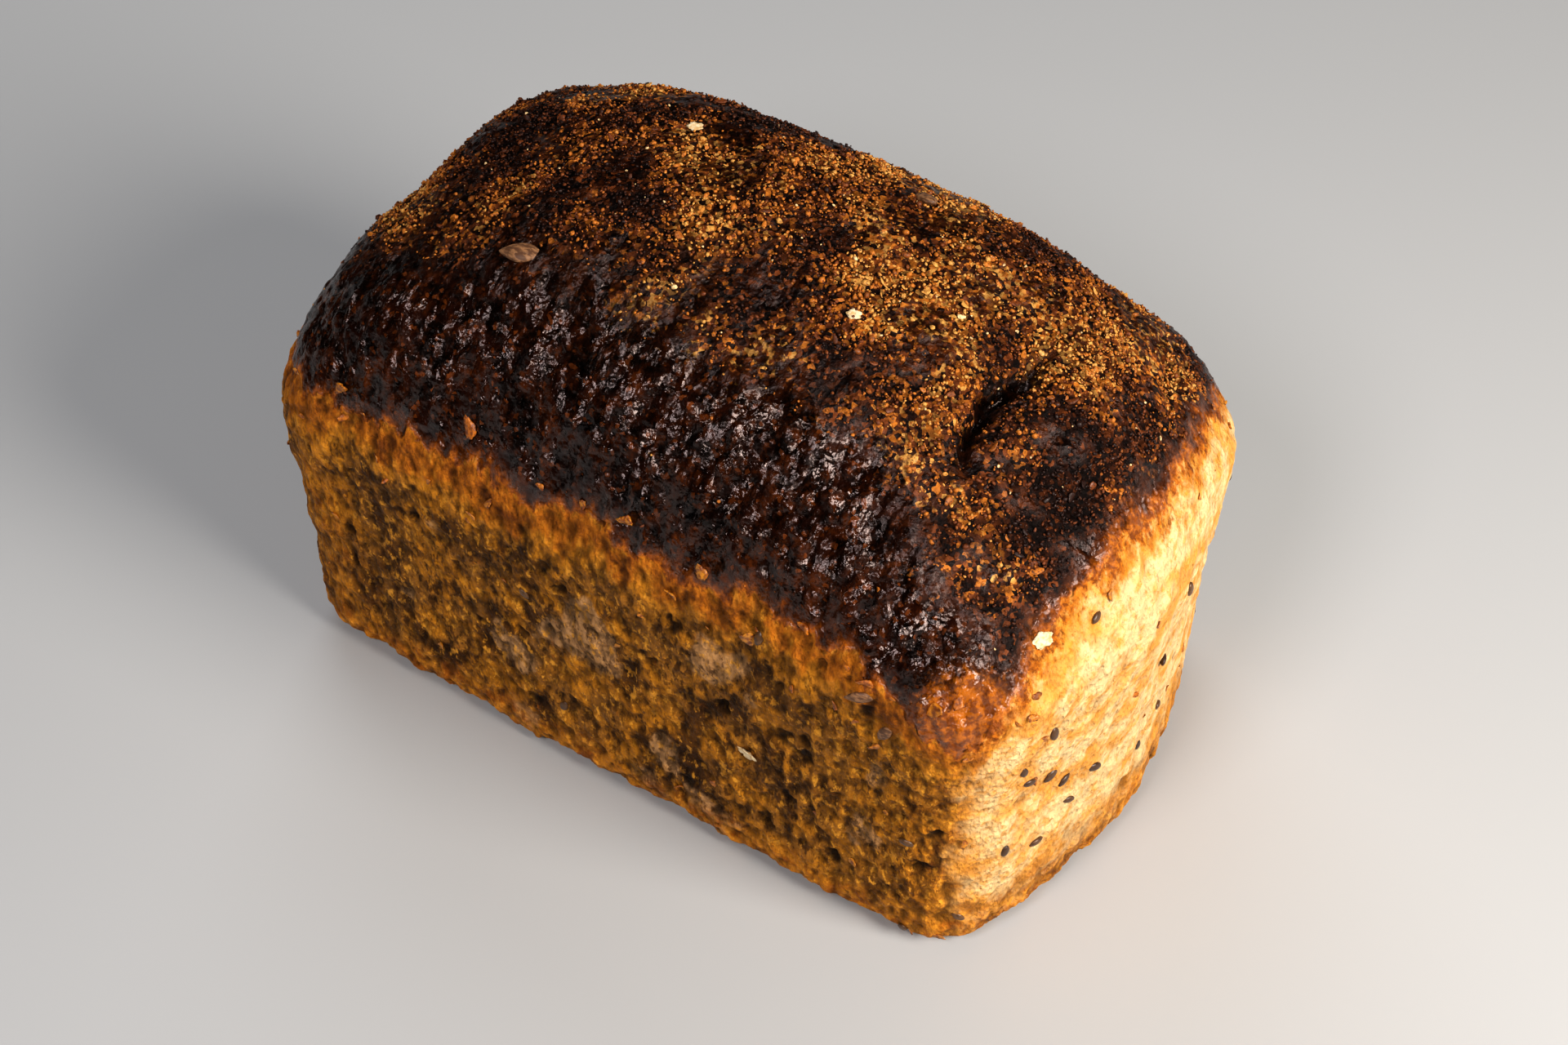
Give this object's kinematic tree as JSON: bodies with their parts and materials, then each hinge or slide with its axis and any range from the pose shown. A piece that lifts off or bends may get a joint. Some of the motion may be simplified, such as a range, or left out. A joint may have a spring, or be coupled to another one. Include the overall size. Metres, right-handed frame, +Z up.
{
  "type": "tin loaf",
  "caption": "Whole tin loaf of seeded bread with upright tin-baked walls, bowed ends and a high dark glossy domed top scattered with bran.",
  "frame": {"origin": "middle of the flat base, at the height of the surface that the loaf stands on", "axes": "+X along the loaf, towards the more bowed end; +Y across it; +Z up"},
  "size_m": [0.2114, 0.128, 0.1381],
  "materials": {
    "crust": "baked bread crust: dark brown, glossy and wrinkled on the domed top, matt golden brown on the walls, pale on one end"
  },
  "bodies": {
    "root": {"loaf": "crust"}
  },
  "joints": []
}
